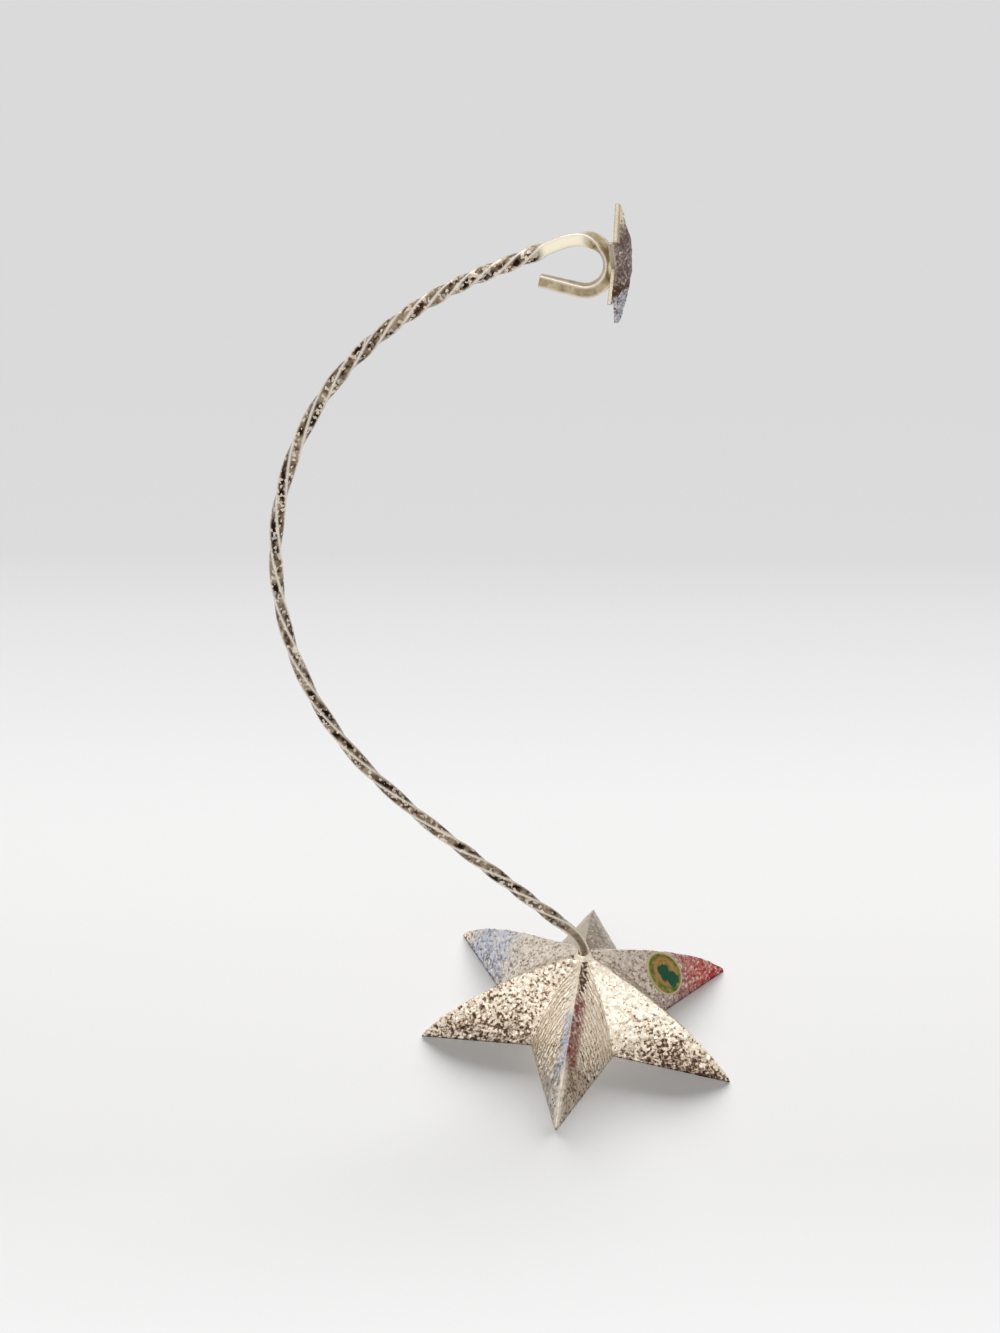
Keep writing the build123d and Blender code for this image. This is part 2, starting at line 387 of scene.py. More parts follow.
def facet_place(points, edges):
    """Where each point lies on its arm of the big star: the share of the arm's reach, the
    distance off its ridge in the plan, and the share of the way up its facet from the rim to
    the ridge."""
    arm = (edges + 1) // 2 % len(star_tips)
    reach, direction = np.array(star_tips).T[:, arm]
    direction = np.radians(direction)
    x, y = points[..., 0], points[..., 1]
    out = (x * np.cos(direction) + y * np.sin(direction)) / reach
    off = abs(y * np.cos(direction) - x * np.sin(direction))
    partner = np.where(edges % 2, edges + 1, edges - 1) % len(star_rim)

    def inwards(edge):
        return np.sum((points[..., :2] - star_rim[edge]) * star_facets["inward"][edge], axis=-1)

    least = 0.1 * mm
    up = np.clip(inwards(edges) / np.maximum(inwards(partner), least), 0, 1)
    return out, off, up


def seal_round():
    """The round under the foil seal: its radius, its centre inwards and up, and the angle at
    which it leaves the table."""
    radius, centre_x, centre_z = (
        star_facets[key][seal_edge] for key in ("radius", "centre_x", "centre_z")
    )
    return radius, centre_x, centre_z, atan2(-centre_z, -sqrt(radius**2 - centre_z**2))


def foil_place(points):
    """Each point's place on the foil seal's oval: across and along it, as shares of its half
    sizes, unrolled from the facet's round."""
    offset = points[..., :2] - star_rim[seal_edge]
    along = offset @ star_facets["along"][seal_edge]
    inwards = offset @ star_facets["inward"][seal_edge]
    radius, centre_x, centre_z, start = seal_round()
    up = radius * (start - np.arctan2(points[..., 2] - centre_z, inwards - centre_x))
    right, above = along - seal_along, up - seal_up
    across = (right * cos(seal_turn) + above * sin(seal_turn)) / (seal_width / 2)
    length = (above * cos(seal_turn) - right * sin(seal_turn)) / (seal_length / 2)
    return across, length


def tint(amount, code):
    """A painted reflection's colour with its amount as alpha."""
    colour = np.ones(amount.shape + (4,)) * np.array(plain_colour(code))
    colour[..., 3] = amount
    return colour


def layered(*tints):
    """Several painted reflections as one, weighted by their amounts."""
    amount = sum(t[..., 3] for t in tints)
    colour = sum(t * t[..., 3:] for t in tints) / np.maximum(amount, 1e-6)[..., None]
    colour[..., 3] = np.clip(amount, 0, 1)
    return colour


def make_star_base(material):
    """The pressed and hammered star: its hollow, its flat rim and its crinkled outside, as one
    closed skin from the pole inside to the pole on top."""
    hollow = facet_circles(star_rim, star_height, facet_bulge, sheet)
    hollow_top = star_height - crown_sheet
    count, rows, hollow_rows, last_share = 60, 112, 14, 0.985
    ring, edges = star_ring(star_rim, tip_round, count)
    inner_ring, _ = star_ring(inset_outline(hollow), tip_round / 2, count)
    shares = np.linspace(0, last_share, hollow_rows)
    inside, _, _ = surface_rows(inner_ring, shares, hollow, star_tips, ridge_soft, hollow_top)
    inside = inside[::-1]
    shares = np.linspace(0, last_share, rows)
    outside, facing, from_rim = surface_rows(
        ring, shares, star_facets, star_tips, ridge_soft, star_height
    )
    across, length = foil_place(outside)
    under_foil = (edges == seal_edge) * (1 - smooth(np.hypot(across, length), 0.97, 1.12))
    out, off, up = facet_place(outside, np.broadcast_to(edges, from_rim.shape))
    fade = smooth(from_rim, 0, plain_rim) * (1 - under_foil)
    outside = outside + facing * (crinkle(outside, star_seed) * fade)[..., None]
    outside[..., 2] = np.maximum(outside[..., 2], 0)

    def on(arm, side):
        return edges == (2 * arm + (0 if side == "left" else -1)) % len(star_rim)

    # Painted shade: how much each facet's colour is darkened, darker towards the rim or the tip
    # where the metal mirrors dim surroundings, with a painted highlight on the front arm's outer
    # ridge
    none = np.zeros(out.shape)
    near_rim = 1 - smooth(up, 0.05, 0.7)
    outer = smooth(out, 0.42, 0.7)
    ridge_shade = (1 - smooth(off, 1.4 * mm, 3.2 * mm)) * (1 - smooth(out, 0.22, 0.36))
    low_outer = (1 - smooth(up, 0.0, 0.9)) * smooth(out, 0.3, 0.66)
    shades = [
        (left_front, "left", 0.5 + 0.24 * near_rim * smooth(out, 0.22, 0.5)),
        (right_front, "right", 0.14 + 0.5 * low_outer + 0.2 * smooth(out, 0.25, 0.7)),
        (front, "right", 0.04 + 0.3 * outer),
        (front, "left", 0.06 + 0.46 * outer + 0.85 * ridge_shade),
        (back, "right", 0.7),
    ]
    dark = 0.42 + 0.15 * near_rim
    for arm, side, shade in shades:
        dark = np.where(on(arm, side), shade, dark)
    on_front = on(front, "left") + on(front, "right")
    # Painted highlight: a pale line along the front arm's outer ridge, lifting the painted shade
    # there
    painted_ridge_highlight = on_front * (1 - smooth(off, 0.5 * mm, 1.2 * mm)) * smooth(out, 0.6, 0.75)
    dark = dark * (1 - painted_ridge_highlight)

    # Painted reflections of coloured things nearby: red and mauve on one back arm, blue on the
    # other, a red and a blue line beside the front ridge, and greyer painted reflections between
    red = 0.9 * smooth(out, 0.5, 0.8) * on(right_back, "right")
    mauve = smooth(out, 0.36, 0.5) * (1 - smooth(out, 0.6, 0.74)) * on(right_back, "right")
    inner_grey = (1 - smooth(out, 0.4, 0.55)) * on(right_back, "right")
    red_line = smooth(out, 0.26, 0.33) * (1 - smooth(out, 0.6, 0.8)) * on(front, "left")
    red_line = red_line * (1 - smooth(off, 2.0 * mm, 4.2 * mm))
    blue = smooth(out, 0.4, 0.62) * (1 - smooth(out, 0.8, 0.95)) * on(left_back, "left")
    left_grey = (1 - smooth(out, 0.45, 0.6)) * on(left_back, "left")
    blue_line = smooth(out, 0.36, 0.44) * (1 - smooth(out, 0.66, 0.8)) * on(front, "right")
    blue_line = blue_line * (1 - smooth(off, 1.2 * mm, 3.6 * mm))
    end_part = 0.45 * smooth(out, 0.6, 0.75) * (1 - smooth(out, 0.92, 0.99))
    end_part = end_part * smooth(off, 0.5 * mm, 1.2 * mm)
    tints = layered(
        tint(red, "#B02634"),
        tint(mauve * 0.6, "#A07F83"),
        tint(red_line * 0.9, "#7C2A2E"),
        tint(blue * 0.66, "#9BAFCF"),
        tint(blue_line * 0.7, "#8FA4C6"),
        tint(end_part * on(front, "right"), "#8E99A8"),
        tint(end_part * on(front, "left"), "#8F7C60"),
        tint(inner_grey * 0.5, "#A39B94"),
        tint(left_grey * 0.5, "#C2BFBB"),
        tint(none + on(back, "right") * 0.9, "#867765"),
    )
    calm = none + 0.9 * on(back, "left") + 0.25 * on(back, "right")

    # The grooves beside the front arm's ridge: straight lines in the plan that fan out from it
    direction = radians(star_tips[front][1])
    ahead = outside[..., 0] * cos(direction) + outside[..., 1] * sin(direction)
    groove = 2 * pi / groove_pitch * (ahead * sin(groove_slant) - off * cos(groove_slant))
    combed = smooth(ahead, 3 * mm, 8 * mm) * (1 - smooth(out, 0.5, 0.72))
    combed = combed * smooth(off, 0.6 * mm, 2.0 * mm) * on_front

    points = joined(inside, outside)
    points[0], points[-1] = (0, 0, hollow_top), (0, 0, star_height)
    plain = np.zeros(inside.shape[:2])
    return make_mesh(
        "hammered_star", points, tube_faces(hollow_rows + rows, len(ring)), material,
        dark=joined(plain + 0.5, dark), calm=joined(plain + 0.3, calm),
        tint=joined(tint(plain, "#808080"), tints), groove=joined(plain, groove),
        combed=joined(plain, combed),
    )


# The twisted bar
def centre_line(distance):
    """The bar's centre line in the plane Y = 0: X, Z and heading, by adding up the heading's
    cosine and sine in small steps along the runs of constant bend. Also the marks at which the
    runs end."""
    lengths = [foot_sink, foot_radius * foot_turn, rise_length, ease_radius * ease_turn,
               belly_radius * belly_turn, shoulder_radius * shoulder_turn, leg_length,
               crook_radius * crook_turn, hook_radius * hook_turn, tail_length]
    turns = [0, foot_turn, 0, -ease_turn, -belly_turn, -shoulder_turn, 0, -crook_turn,
             -hook_turn, 0]
    marks = np.cumsum([-foot_sink] + lengths)
    headings = foot_heading + np.cumsum([0] + turns)
    step = 0.02 * mm
    fine = np.arange(marks[0], marks[-1], step)
    heading = np.interp(fine + step / 2, marks, headings)
    x = np.concatenate([[0], np.cumsum(np.cos(heading))]) * step
    z = np.concatenate([[0], np.cumsum(np.sin(heading))]) * step
    ends = np.concatenate([fine, [fine[-1] + step]])
    x -= np.interp(0, ends, x)
    z += star_height - np.interp(0, ends, z)
    return (np.interp(distance, ends, x), np.interp(distance, ends, z),
            np.interp(distance, marks, headings), marks)


def eased(distance, start, end):
    """The area so far under a step that rises smoothly from 0 to 1 between start and end."""
    t = np.clip((distance - start) / (end - start), 0, 1)
    return (end - start) * (t**3 - t**4 / 2) + np.maximum(distance - end, 0)


def face_angle(distance, marks):
    """Which way one face of the bar looks, from the foot through the twist to the hook."""
    twist_end = marks[leg_end] - plain_leg / 2
    upper_start = twist_end - upper_run
    lower_end = plain_foot + lower_run

    def wound(at):
        at = np.minimum(at, twist_end)
        rate_change = 1 / middle_quarter - 1 / lower_quarter
        upper_change = 1 / upper_quarter - 1 / middle_quarter
        return (eased(at, plain_foot, plain_foot + start_ease) / lower_quarter
                + eased(at, lower_end, lower_end + start_ease) * rate_change
                + eased(at, upper_start, upper_start + upper_ease) * upper_change)

    full_twist = quarter_turns * pi / 2 + leg_face - foot_face
    angle = foot_face + full_twist * wound(distance) / wound(twist_end)
    back_start = twist_end + plain_leg
    drift_start = back_start + turn_back_run / 2
    angle = angle - turn_back * smooth(distance, back_start, back_start + turn_back_run)
    drifted = np.maximum(distance - drift_start, 0) / (marks[-1] - drift_start)
    return angle - tail_drift * drifted


def bar_section(per_corner, per_face):
    """A square with rounded corners, anticlockwise, and how near each point is to a corner."""
    points, nearness = [], []
    inner = bar / 2 - bar_round
    for k in range(4):
        turn = pi / 4 + k * pi / 2
        angle = turn + np.linspace(-pi / 4, pi / 4, per_corner)
        corner = inner * sqrt(2) * np.array([cos(turn), sin(turn)])
        points.append(corner + bar_round * np.stack([np.cos(angle), np.sin(angle)], axis=1))
        nearness.append(np.ones(per_corner))
        side = np.linspace(1, -1, per_face + 2)[1:-1]
        facing = np.array([cos(turn + pi / 4), sin(turn + pi / 4)])
        across = np.array([-facing[1], facing[0]])
        points.append(facing * bar / 2 - across * (side * inner)[:, None])
        nearness.append(abs(side) ** 3)
    return np.concatenate(points), np.concatenate(nearness)


def make_arm(material):
    """The bar: its rounded square carried along the centre line and turned to its face angle,
    with slight hammer dents, and closed at both ends."""
    spacing, end_rows = 0.3 * mm, 4
    total = centre_line(0.0)[3][-1]
    distance = np.linspace(-foot_sink, total, int((total + foot_sink) / spacing))
    distance = np.concatenate([distance, np.full(end_rows, total)])
    x, z, heading, marks = centre_line(distance)
    angle = face_angle(distance, marks)
    section, nearness = bar_section(per_corner=4, per_face=3)
    section, nearness = section[::-1], nearness[::-1]
    shrink = np.concatenate([np.ones(len(distance) - end_rows), np.linspace(0.97, 0.3, end_rows)])
    out = section[None] * shrink[:, None, None]
    y = out[..., 0] * np.cos(angle)[:, None] - out[..., 1] * np.sin(angle)[:, None]
    inside = out[..., 0] * np.sin(angle)[:, None] + out[..., 1] * np.cos(angle)[:, None]
    points = np.stack(
        [x[:, None] + inside * np.sin(heading)[:, None], y,
         z[:, None] - inside * np.cos(heading)[:, None]], axis=-1
    )
    centre = np.stack([x, 0 * x, z], axis=-1)[:, None]
    fine_dents = lattice_noise(points, fine_dent_pitch, dent_seed + 1) * (1 - 0.5 * nearness)
    dents = dent_height * (lattice_noise(points, dent_pitch, dent_seed) + fine_dents) - dent_sink
    points = points + (points - centre) / (bar / 2) * dents[..., None]
    whole = joined(points)
    whole[0], whole[-1] = centre[0, 0], centre[-1, 0]

    # How far each row is part of the plain foot, of the hook, and of the hook's leg, which is
    # painted pale as a painted highlight
    leg_mark, crook_mark = marks[leg_end], marks[crook_end]
    foot_part = 1 - smooth(distance, plain_foot - 1 * mm, plain_foot + 2 * mm)
    hook_part = smooth(distance, leg_mark - plain_leg, leg_mark - plain_leg / 2)
    pale_leg_highlight = hook_part * (1 - smooth(distance, crook_mark - 1.5 * mm, crook_mark + 1.5 * mm))
    each = np.ones(points.shape[:2])
    return make_mesh(
        "twisted_bar", whole, tube_faces(len(distance), len(section)), material,
        edge=joined(each * nearness), plain=joined(each * hook_part[:, None]),
        foot=joined(each * foot_part[:, None]), leg=joined(each * pale_leg_highlight[:, None]),
    )


# The small star, in its own frame: facing +Z, with its top tip along +Y
def make_hook_star(material):
    """The small star: its flat back, its plain edge and its crinkled facets as one closed skin,
    turned to face +X and set against the outside of the hook."""
    tips = [(small_reach, small_first_arm + arm_step * k) for k in range(6)]
    outline = star_outline(tips, small_corner, small_first_arm)
    facets = facet_circles(outline, small_dome, small_bulge)
    count, rows, last_share = 36, 42, 0.98
    ring, _ = star_ring(outline, small_tip_round, count)
    shares = np.linspace(0, last_share, rows)
    top, facing, from_rim = surface_rows(ring, shares, facets, tips, small_soft, small_dome)
    fade = smooth(from_rim, 0, small_plain_rim)
    height = small_crinkle * crinkle(top, small_seed, small_pitch) * fade
    top = top + facing * height[..., None]
    top[..., 2] = np.maximum(top[..., 2], 0) + small_edge
    shares = np.array([last_share, 0.6, 0.03, 0.0])
    back_rows, _, _ = surface_rows(ring, shares, facets, tips, small_soft, 0.0)
    wall = back_rows[-1:] + np.array([0, 0, 0.25 * small_edge])
    low = np.concatenate([back_rows, wall, wall + np.array([0, 0, 0.5 * small_edge])])
    points = joined(low, top)
    points[0], points[-1] = (0, 0, 0), (0, 0, small_edge + small_dome)

    # Painted reflections: mauve brown over the middle, a blackish band under it, a blue lower end,
    # and a pale top tip as a painted highlight
    upwards = top[..., 1]
    dark = 0.72 - 0.5 * smooth(upwards, 6 * mm, 11 * mm)
    dark = dark + 0.6 * (1 - smooth(abs(upwards + 4.4 * mm), 0.6 * mm, 1.5 * mm))
    mauve = smooth(upwards, -4.2 * mm, -2.6 * mm) * (1 - smooth(upwards, 7 * mm, 11 * mm))
    blue = 1 - smooth(upwards, -6.4 * mm, -5.0 * mm)
    tints = layered(tint(mauve * 0.9, "#6F5A58"), tint(blue * 0.8, "#8593AA"))
    rim = (1 - smooth(from_rim, 0.2 * mm, 0.9 * mm)) * smooth(upwards, -3 * mm, 3 * mm)
    # The back wall's lower part carries the same blue painted reflection
    low_calm = smooth(low[..., 1], -9 * mm, -6 * mm)
    low_tint = tint(0.8 * (1 - low_calm), "#8593AA")
    plain, plain_top = np.zeros(low.shape[:2]), np.zeros(top.shape[:2])

    # Its seat: the outside of the hook where the bar runs straight down
    mark = centre_line(0.0)[3][crook_end]
    x, z, _, _ = centre_line(mark + hook_radius * (centre_line(mark)[2] + pi / 2))
    seat = np.array([x + bar / 2 - small_seat, 0, z + small_lift])
    across = np.array([0, 1, 0])
    up_dir = np.array([-sin(small_tilt), 0, cos(small_tilt)])
    normal = np.array([cos(small_tilt), 0, sin(small_tilt)])
    points = seat + points[:, :1] * across + points[:, 1:2] * up_dir + points[:, 2:] * normal
    return make_mesh(
        "small_star", points, tube_faces(len(low) + rows, len(ring)), material,
        dark=joined(plain + 0.5, dark), calm=joined(low_calm, rim),
        tint=joined(low_tint, tints), groove=joined(plain, plain_top),
        combed=joined(plain, plain_top),
    )


def make_foil_seal(material):
    """The oval foil: a disc of rings and spokes laid on its facet's round, with a raised lip."""
    spokes = 72
    around = np.linspace(0, 2 * pi, spokes, endpoint=False)[None, :]
    reach = np.array([1.0, 1.0, 0.985, 0.96, 0.93, 0.9, 0.87, 0.8, 0.65, 0.5, 0.35, 0.2, 0.08])
    lift = np.array([-0.05, 0.6, 0.85, 1.0, 0.95, 0.75, 0.5, 0.5, 0.55, 0.6, 0.65, 0.7, 0.7])
    across = reach[:, None] * np.cos(around)
    length = reach[:, None] * np.sin(around)
    right = across * seal_width / 2 * cos(seal_turn) - length * seal_length / 2 * sin(seal_turn)
    above = across * seal_width / 2 * sin(seal_turn) + length * seal_length / 2 * cos(seal_turn)
    radius, centre_x, centre_z, start = seal_round()
    angle = start - (seal_up + above) / radius
    radius = radius + seal_thickness * lift[:, None]
    inwards = centre_x + radius * np.cos(angle)
    z = centre_z + radius * np.sin(angle)
    along_part = (seal_along + right)[..., None] * star_facets["along"][seal_edge]
    inward_part = inwards[..., None] * star_facets["inward"][seal_edge]
    plan = star_rim[seal_edge] + along_part + inward_part
    points = np.concatenate([plan, z[..., None]], axis=-1)
    pole = points[-1].mean(axis=0, keepdims=True)
    points = np.concatenate([points.reshape(-1, 3), pole])
    faces = tube_faces(len(reach), spokes, first_pole=False)
    return make_mesh(
        "foil_oval", points, faces, material,
        across=np.append(across, 0.0), length=np.append(length, 0.0),
    )


def make_base_braze(material):
    """The pool of braze that ran forwards from the bar's foot: a low dome of rings whose
    outline wavers within the solid's, with a dimple where it drew in as it set."""
    rings, spokes, mean_reach = 16, 60, 0.88 * braze_radius
    around = np.linspace(0, 2 * pi, spokes, endpoint=False)[None, :]
    share = np.linspace(1, 0.06, rings)[:, None]
    waver = 1 + 0.08 * np.sin(3 * around + 0.6) + 0.05 * np.sin(5 * around + 2.0)
    reach = mean_reach * waver * share
    x, y = reach * np.cos(around), reach * np.sin(around) - braze_forward
    rise = smooth(1 - share, 0, 0.38) * (1 - 0.4 * smooth(1 - share, 0.4, 0.8))
    below_solid, edge_sink = 0.08 * mm, 0.15 * mm
    top = star_height + braze_height / 2 - below_solid
    z = star_surface(x, y, star_facets, star_tips, ridge_soft) - edge_sink
    z = z + (top - z) * rise
    points = np.stack([x, y, z], axis=-1).reshape(-1, 3)
    pole = np.array([[0, -braze_forward, points[-1, 2]]])
    return make_mesh(
        "braze_pool", np.concatenate([points, pole]),
        tube_faces(rings, spokes, first_pole=False), material
    )


# Materials
def hammered_nickel(name, flake):
    """Hammered sheet under a warm nickel plate. The crinkles are small facets that each catch
    the light their own way, and their colour adds painted sparkle and painted shade: pale cream
    flakes between brown, darker creases. Painted reflections of coloured things lie on the
    points, and fine grooves were combed into the folds beside the front arm."""
    tilt, grain_depth = 0.42, 0.12 * mm
    material, tree = new_material(name)
    place = add_node(tree, "TexCoord")["Object"]
    dark, calm, groove, combing = (
        add_node(tree, "Attribute", attribute_name=key)["Fac"]
        for key in ("dark", "calm", "groove", "combed")
    )
    tints = add_node(tree, "Attribute", attribute_name="tint")
    bend = add_node(tree, "TexNoise", {"Vector": place, "Scale": 0.5 / flake, "Detail": 2.0})
    bent = add_node(tree, "VectorMath", {0: bend["Color"], 1: (1.6 * flake,) * 3, 2: place},
                    operation="MULTIPLY_ADD")
    cells = add_node(tree, "TexVoronoi", {"Vector": bent["Vector"], "Scale": 1 / flake})
    chance = add_node(tree, "SeparateColor", {"Color": cells["Color"]})
    creases = add_node(tree, "TexNoise", {"Vector": place, "Scale": 0.9 / flake, "Detail": 2.5,
                                          "Roughness": 0.55})

    # Painted sparkle and shade: how pale each flake is painted, part crease, part chance, less the
    # painted shade of its place, and a little of the combed grooves
    pattern = add_node(tree, "Math", {0: creases["Fac"], 1: 1.7, 2: -0.6},
                       operation="MULTIPLY_ADD")["Value"]
    pattern = add_node(tree, "Math", {0: chance["Red"], 1: 0.5, 2: pattern},
                       operation="MULTIPLY_ADD")["Value"]
    level = add_node(tree, "Math", {0: dark, 1: -0.72, 2: pattern},
                     operation="MULTIPLY_ADD")["Value"]
    phase = add_node(tree, "Math", {0: bend["Fac"], 1: 9.0, 2: groove},
                     operation="MULTIPLY_ADD")["Value"]
    waves = add_node(tree, "Math", {0: phase}, operation="SINE")["Value"]
    combed = add_node(tree, "Math", {0: waves, 1: combing}, operation="MULTIPLY")["Value"]
    level = add_node(tree, "Math", {0: combed, 1: 0.2, 2: level},
                     operation="MULTIPLY_ADD")["Value"]
    shown = add_node(tree, "MapRange", {0: level, 1: -0.28, 2: 0.26, 3: 0.0, 4: 1.0})["Result"]
    metal = add_node(tree, "ValToRGB", {"Fac": shown}, [
        (0.0, "#523E31"), (0.28, "#836C5A"), (0.5, "#B8A592"), (0.75, "#E3D3BF"), (1.0, "#F4E9D8"),
    ])["Color"]

    # The painted reflections lie on the flakes in unequal strength, and calm parts are one quiet
    # tone
    flecks = add_node(tree, "MapRange", {0: chance["Green"], 1: 0.35, 2: 0.85, 3: 1.0, 4: 0.35})
    amount = add_node(tree, "Math", {0: tints["Alpha"], 1: flecks["Result"]},
                      operation="MULTIPLY")["Value"]
    tinted = add_node(tree, "Mix", {0: amount, 6: metal, 7: tints["Color"]}, data_type="RGBA")[2]
    quiet = add_node(tree, "Mix", {0: calm, 6: tinted, 7: plain_colour("#BFB29C")},
                     data_type="RGBA")[2]

    # The way each flake faces, then the fine grain and the combed grooves as height
    spun = add_node(tree, "VectorMath", {0: cells["Color"], 1: (0.5, 0.5, 0.5)},
                    operation="SUBTRACT")
    lively = add_node(tree, "Math", {0: calm, 1: -0.85 * tilt, 2: tilt},
                      operation="MULTIPLY_ADD")
    tilted = add_node(tree, "VectorMath", {0: spun["Vector"], "Scale": lively["Value"]},
                      operation="SCALE")
    normal = add_node(tree, "NewGeometry")["Normal"]
    added = add_node(tree, "VectorMath", {0: normal, 1: tilted["Vector"]}, operation="ADD")
    facing = add_node(tree, "VectorMath", {0: added["Vector"]}, operation="NORMALIZE")
    grain = add_node(tree, "TexNoise", {"Vector": place, "Scale": 2.2 / flake, "Detail": 3.0})
    height = add_node(tree, "Math", {0: combed, 1: 1.2, 2: grain["Fac"]},
                      operation="MULTIPLY_ADD")
    bump = add_node(tree, "Bump", {"Height": height["Value"], "Normal": facing["Vector"],
                                   "Strength": 0.6, "Distance": grain_depth})
    shader = add_node(tree, "BsdfPrincipled", {"Base Color": quiet, "Normal": bump["Normal"],
                                               "Metallic": 1.0, "Roughness": 0.3})
    add_node(tree, "OutputMaterial", {"Surface": shader["BSDF"]})
    return material


def bar_nickel(name):
    """A drawn square bar under the same plate, twisted cold. Its corners carry a painted highlight,
    its faces mirror the room in deep slate and cream, and brown and black stains with small pale
    flecks lie on them. The hook and the foot were left plain and are evener, and the hook's leg
    is painted pale as a painted highlight."""
    stain_size, patch_size, fleck_size = 3.2 * mm, 2.4 * mm, 0.8 * mm
    dent_size, dent_depth = 0.9 * mm, 0.14 * mm
    material, tree = new_material(name)
    place = add_node(tree, "TexCoord")["Object"]
    edge, plain, foot, leg = (
        add_node(tree, "Attribute", attribute_name=key)["Fac"]
        for key in ("edge", "plain", "foot", "leg")
    )
    stains, patches, foot_patches, dents = (
        add_node(tree, "TexNoise", {"Vector": place, "Scale": 1 / size, "Detail": detail,
                                    "Roughness": 0.6})["Fac"]
        for size, detail in ((stain_size, 2.0), (patch_size, 4.0), (patch_size, 3.0),
                             (dent_size, 3.0))
    )
    cells = add_node(tree, "TexVoronoi", {"Vector": place, "Scale": 1 / fleck_size})
    chance = add_node(tree, "SeparateColor", {"Color": cells["Color"]})
    stained = add_node(tree, "ValToRGB", {"Fac": stains}, [
        (0.4, "#24160E"), (0.46, "#503A2B"), (0.51, "#6F6252"), (0.64, "#9A8A75"),
    ])["Color"]
    flecked = add_node(tree, "MapRange", {0: chance["Red"], 1: 0.7, 2: 0.8, 3: 0.0, 4: 0.8})
    fleck = add_node(tree, "ValToRGB", {"Fac": chance["Green"]}, [
        (0.15, "#E0CBB8"), (0.75, "#F1E6D6"), (0.97, "#A9B4BC"),
    ])["Color"]
    face = add_node(tree, "Mix", {0: flecked["Result"], 6: stained, 7: fleck},
                    data_type="RGBA")[2]
    even = add_node(tree, "ValToRGB", {"Fac": patches}, [
        (0.3, "#83745A"), (0.5, "#A19274"), (0.7, "#C6B897"),
    ])["Color"]
    # The hook's leg painted near white: a painted highlight
    hook_face = add_node(tree, "Mix", {0: leg, 6: even, 7: plain_colour("#FCF4DC")},
                         data_type="RGBA")[2]
    foot_face = add_node(tree, "ValToRGB", {"Fac": foot_patches}, [
        (0.35, "#6B5B4B"), (0.65, "#9A8A77"),
    ])["Color"]
    chosen = add_node(tree, "Mix", {0: plain, 6: face, 7: hook_face}, data_type="RGBA")[2]
    chosen = add_node(tree, "Mix", {0: foot, 6: chosen, 7: foot_face}, data_type="RGBA")[2]
    # Painted highlight: the corners are painted pale cream, as the light they catch
    near_corner = add_node(tree, "Math", {0: edge, 1: 2.0}, operation="POWER")["Value"]
    corner_highlight_share = add_node(tree, "Math", {0: near_corner, 1: 0.85}, operation="MULTIPLY")["Value"]
    corner_highlight = add_node(tree, "Mix", {0: corner_highlight_share, 6: chosen, 7: plain_colour("#EADFCF")},
                         data_type="RGBA")[2]
    bump = add_node(tree, "Bump", {"Height": dents, "Strength": 0.55, "Distance": dent_depth})
    shader = add_node(tree, "BsdfPrincipled", {"Base Color": corner_highlight, "Normal": bump["Normal"],
                                               "Metallic": 1.0, "Roughness": 0.2})
    add_node(tree, "OutputMaterial", {"Surface": shader["BSDF"]})
    return material


def braze_metal(name):
    """Braze that ran and set under the plate: smooth, pale and a little lumpy."""
    lump_size, lump_height = 1.2 * mm, 0.15 * mm
    material, tree = new_material(name)
    place = add_node(tree, "TexCoord")["Object"]
    lumps = add_node(tree, "TexNoise", {"Vector": place, "Scale": 1 / lump_size, "Detail": 2.0})
    colour = add_node(tree, "ValToRGB", {"Fac": lumps["Fac"]}, [
        (0.35, "#E6DCC4"), (0.65, "#FBF5E4"),
    ])["Color"]
    bump = add_node(tree, "Bump", {"Height": lumps["Fac"], "Strength": 0.6,
                                   "Distance": lump_height})
    shader = add_node(tree, "BsdfPrincipled", {"Base Color": colour, "Normal": bump["Normal"],
                                               "Metallic": 1.0, "Roughness": 0.4})
    add_node(tree, "OutputMaterial", {"Surface": shader["BSDF"]})
    return material


